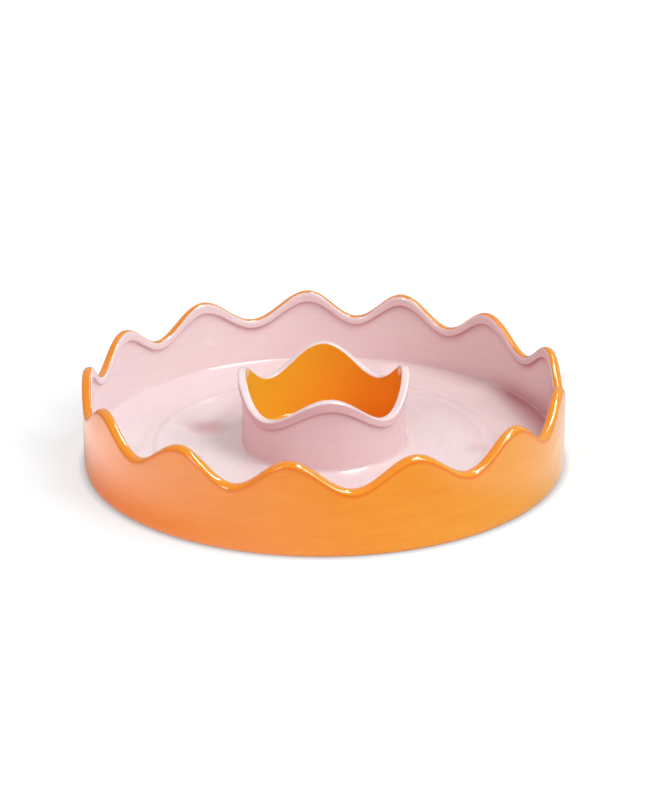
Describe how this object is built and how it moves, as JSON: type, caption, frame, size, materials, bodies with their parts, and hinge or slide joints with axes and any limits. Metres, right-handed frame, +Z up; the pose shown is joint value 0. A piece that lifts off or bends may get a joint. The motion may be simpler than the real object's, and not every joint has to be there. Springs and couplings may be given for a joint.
{
  "type": "chip and dip server",
  "caption": "Round glazed ceramic serving tray with an upright wavy-edged wall and a fixed wavy-rimmed dip well standing in the middle of its floor.",
  "frame": {"origin": "middle of the feet's resting plane, under the middle of the dip well", "axes": "+Z up, away from the table; -Y towards the side that the picture shows in front; +X to its right"},
  "size_m": [0.33, 0.33, 0.0648],
  "materials": {
    "floor_glaze": "glossy pink glaze, bare clay on the feet",
    "wall_glaze": "glossy orange glaze outside and over the rim, pink inside",
    "rim_band_glaze": "glossy pink glaze",
    "well_glaze": "glossy pink glaze outside and over the rim, orange inside",
    "well_band_glaze": "glossy pink glaze"
  },
  "bodies": {
    "root": {"tray_floor": "floor_glaze", "tray_wall": "wall_glaze", "tray_rim_band": "rim_band_glaze", "dip_well_wall": "well_glaze", "dip_well_rim_band": "well_band_glaze"}
  },
  "joints": []
}
